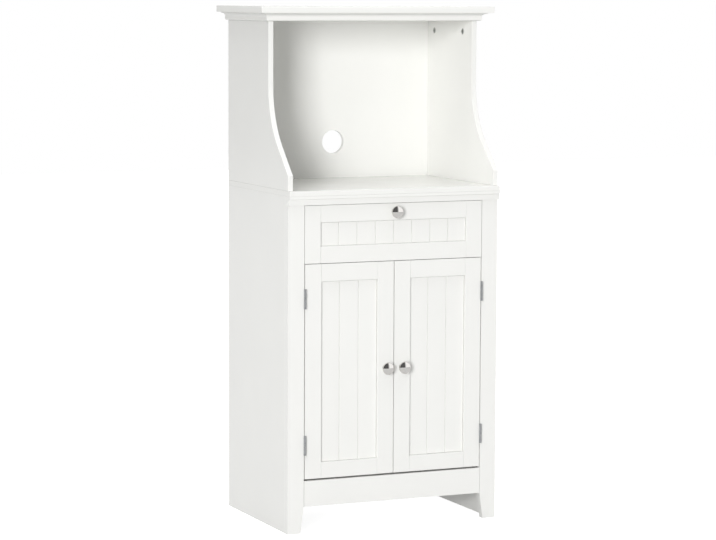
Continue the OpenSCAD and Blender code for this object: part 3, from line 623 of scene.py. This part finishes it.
def screw_shape():
    """A countersunk screw of unit head radius and unit length: tip, shank, cone, rim and a cross
    recess. The face of its head is at 0 and it runs down -Z."""
    tip = [(0, -1.0), (0.32, -0.96), (0.5, -0.86)]
    cone = [(0.5, -0.12), (0.98, -0.012)]
    rim = [(1.0, -0.004), (0.97, 0), (0, 0)]
    screw = link_mesh("screw_shape", revolved("screw_shape", tip + cone + rim, SCREW_SEGMENTS))
    recess = bmesh.new()
    for turn in (0, 90):
        made = bmesh.ops.create_cube(recess, size=1.0)["verts"]
        bmesh.ops.scale(recess, vec=(1.15, 0.26, 0.16), verts=made)
        bmesh.ops.rotate(recess, matrix=Matrix.Rotation(math.radians(turn), 3, "Z"), verts=made)
    cutter = link_mesh("recess", mesh_from("recess", recess))
    cut = screw.modifiers.new("recess", "BOOLEAN")
    cut.operation = "DIFFERENCE"
    cut.solver = "EXACT"
    cut.use_self = True
    cut.object = cutter
    bpy.context.view_layer.update()
    evaluated = screw.evaluated_get(bpy.context.evaluated_depsgraph_get())
    mesh = bpy.data.meshes.new_from_object(evaluated)
    screw.modifiers.remove(cut)
    screw.data = mesh
    bpy.data.objects.remove(cutter)
    screw.hide_render = True
    return screw


def fittings(node, shape, tree, material, suffix):
    """Stands one shape on each solid of a node, at that solid's head, width and length."""
    heads = [shaft(points) for points in shells(node)]
    carrier_mesh = bpy.data.meshes.new("carrier")
    carrier_mesh.from_pydata([head for head, _, _, _ in heads], [], [])
    turn = carrier_mesh.attributes.new("turn", "FLOAT_VECTOR", "POINT")
    size = carrier_mesh.attributes.new("size", "FLOAT_VECTOR", "POINT")
    for i, (_, out, radius, length) in enumerate(heads):
        turn.data[i].vector = out.to_track_quat("Z", "Y").to_euler()
        size.data[i].vector = (radius, radius, length)
    carrier = link_mesh(f"{node}_carrier", carrier_mesh)
    mesh = grow(carrier, tree, {"Fitting": shape, "Finish": material})
    bpy.data.objects.remove(carrier)
    return settle(link_mesh(f"{node}_{suffix}", mesh), node, material)


# ---- the stand ----

PANELS = [
    "lower_side_left", "lower_side_right", "countertop", "counter_moulding", "upper_side_left",
    "upper_side_right",
]
PAINTED = [
    "front_stile_left", "front_stile_right", "upper_back", "top_panel", "crown_board",
    "crown_moulding_front", "crown_moulding_left", "crown_moulding_right",
    "drawer_stile_left", "drawer_stile_right", "left_hinge_stile", "left_meeting_stile",
    "right_meeting_stile", "right_hinge_stile",
]
RAILS = {
    "apron": ("front_stile_left", "front_stile_right", APRON_LINE),
    "drawer_top_rail": ("drawer_stile_left", "drawer_stile_right", JOINT_LINE),
    "drawer_bottom_rail": ("drawer_stile_left", "drawer_stile_right", JOINT_LINE),
    "left_top_rail": ("left_hinge_stile", "left_meeting_stile", JOINT_LINE),
    "left_bottom_rail": ("left_hinge_stile", "left_meeting_stile", JOINT_LINE),
    "right_top_rail": ("right_meeting_stile", "right_hinge_stile", JOINT_LINE),
    "right_bottom_rail": ("right_meeting_stile", "right_hinge_stile", JOINT_LINE),
}
LAMINATED = [
    "cabinet_floor", "drawer_rails", "lower_back", "shelf", "slide_spacers", "drawer_box_front",
    "drawer_box_left", "drawer_box_right", "drawer_box_back", "drawer_bottom",
]
PLATED = [
    "slide_channels", "drawer_slide_rails", "hinge_frame_leaves", "left_hinge_leaves",
    "right_hinge_leaves", "hinge_pins", "left_strike", "right_strike", "shelf_pins", "cam_bolts",
]


def build_stand():
    """Dresses every node of the stand."""
    for node in PANELS:
        eased_panel(node)
    for node in PAINTED:
        softened(node, PAINT, PAINTED_EDGE, "painted")
    for node, (left, right, line) in RAILS.items():
        jointed_rail(node, left, right, line)
    for node in LAMINATED:
        softened(node, BOARD, BOARD_EDGE, "board", segments=2)
    for node in PLATED:
        softened(node, STEEL, METAL_EDGE, "plated", segments=2)
    softened("cam_locks", CAST, METAL_EDGE, "cast", segments=2)
    softened("magnetic_catches", PLASTIC, BOARD_EDGE, "moulded", segments=2)
    softened("counter_dowels", BEECH, BOARD_EDGE, "turned", segments=2)
    beading = beading_tree()
    beaded_panel("drawer_panel", DRAWER_BOARDS, beading)
    beaded_panel("left_panel", DOOR_BOARDS, beading)
    beaded_panel("right_panel", DOOR_BOARDS, beading)
    for node in ("drawer_knob", "left_knob", "right_knob"):
        chrome_knob(node)
    rows = fitting_tree()
    screw = screw_shape()
    for node in ("cabinet_screws", "drawer_screws", "left_door_screws", "right_door_screws"):
        fittings(node, screw, rows, ZINC, "crossed")
    bpy.data.objects.remove(screw)


# ---- studio ----

def build_camera():
    """Puts the camera where the photograph was taken from."""
    data = bpy.data.cameras.new("camera")
    data.sensor_width = CAMERA_SENSOR
    data.lens = CAMERA_LENS
    data.clip_end = CAMERA_SIGHT
    camera = bpy.data.objects.new("camera", data)
    bpy.context.scene.collection.objects.link(camera)
    turn = Matrix.Rotation(math.radians(-CAMERA_YAW), 4, "Z")
    tilt = Matrix.Rotation(math.radians(90 + CAMERA_PITCH), 4, "X")
    roll = Matrix.Rotation(math.radians(CAMERA_ROLL), 4, "Z")
    camera.matrix_world = Matrix.Translation(CAMERA_PLACE) @ turn @ tilt @ roll
    bpy.context.scene.camera = camera


def softbox(name, azimuth, elevation, distance, size, power):
    """A softbox aimed at the middle of the stand, which the chrome doesn't mirror."""
    azimuth, elevation = math.radians(azimuth), math.radians(elevation)
    level = math.cos(elevation)
    away = Vector((-math.sin(azimuth) * level, -math.cos(azimuth) * level, math.sin(elevation)))
    data = bpy.data.lights.new(name, "AREA")
    data.shape = "RECTANGLE"
    data.size, data.size_y = size
    data.energy = power
    light = bpy.data.objects.new(name, data)
    bpy.context.scene.collection.objects.link(light)
    light.location = Vector(AIM) + away * distance
    light.rotation_euler = (-away).to_track_quat("-Z", "Y").to_euler()
    light.visible_glossy = False


def pale_floor():
    """White paper floor. For the camera it is lifted to a clean white that keeps the shadow, and in
    the chrome it shows as a soft grey."""
    material, tree, shader = new_material("pale_paper_floor")
    rays = add(tree, "ShaderNodeLightPath").outputs
    seen = add(tree, "ShaderNodeMath", {0: rays["Is Camera Ray"], 1: FLOOR_LIFT}, operation="MULTIPLY")
    lift = add(tree, "ShaderNodeMath", {0: rays["Is Glossy Ray"], 1: FLOOR_MIRRORED, 2: seen.outputs[0]},
               operation="MULTIPLY_ADD")
    set_shader(
        tree, shader, Base_Color=hex_colour("#BEBEBE"), Roughness=0.9, Specular_IOR_Level=0.0,
        Emission_Color=(1, 1, 1, 1), Emission_Strength=lift.outputs[0],
    )
    return material


def build_floor():
    """One flat sheet of the floor, kept out of the part."""
    bm = bmesh.new()
    bmesh.ops.create_grid(bm, x_segments=1, y_segments=1, size=FLOOR_HALF)
    mesh = mesh_from("floor", bm)
    mesh.materials.append(pale_floor())
    link_mesh("floor", mesh)


def build_world():
    """A dim room under a pale ceiling, and plain white behind the stand. What the chrome mirrors is
    a bright sheet on the right and the dim front left corner."""
    world = bpy.data.worlds.new("studio")
    bpy.context.scene.world = world
    world.use_nodes = True
    tree = world.node_tree
    tree.nodes.clear()
    rays = add(tree, "ShaderNodeLightPath")
    way = add(tree, "ShaderNodeSeparateXYZ", {"Vector": add(tree, "ShaderNodeTexCoord").outputs["Generated"]})
    room = add(tree, "ShaderNodeMapRange", {
        "Value": way.outputs["Z"], "To Min": ROOM, "To Max": ROOM + CEILING,
    })
    mirrored = add(tree, "ShaderNodeMapRange", {
        "Value": way.outputs["X"], "From Min": SHEET_FROM, "From Max": SHEET_TO,
        "To Min": DIM_CORNER, "To Max": BRIGHT_SHEET,
    }, interpolation_type="SMOOTHSTEP")
    fill = add(tree, "ShaderNodeBackground", {"Color": (1, 1, 1, 1), "Strength": room.outputs[0]})
    mirror = add(tree, "ShaderNodeBackground", {"Color": (1, 1, 1, 1), "Strength": mirrored.outputs[0]})
    backdrop = add(tree, "ShaderNodeBackground", {"Color": (1, 1, 1, 1), "Strength": 1.0})
    lit = add(tree, "ShaderNodeMixShader",
              {0: rays.outputs["Is Glossy Ray"], 1: fill.outputs[0], 2: mirror.outputs[0]})
    seen = add(tree, "ShaderNodeMixShader",
               {0: rays.outputs["Is Camera Ray"], 1: lit.outputs[0], 2: backdrop.outputs[0]})
    add(tree, "ShaderNodeOutputWorld", {"Surface": seen.outputs[0]})


def build_studio():
    """The floor, the room and the softboxes."""
    build_floor()
    build_world()
    for name, place in SOFTBOXES.items():
        softbox(name, *place)
    bpy.context.scene.view_settings.view_transform = "Standard"


build_camera()
build_stand()
build_studio()
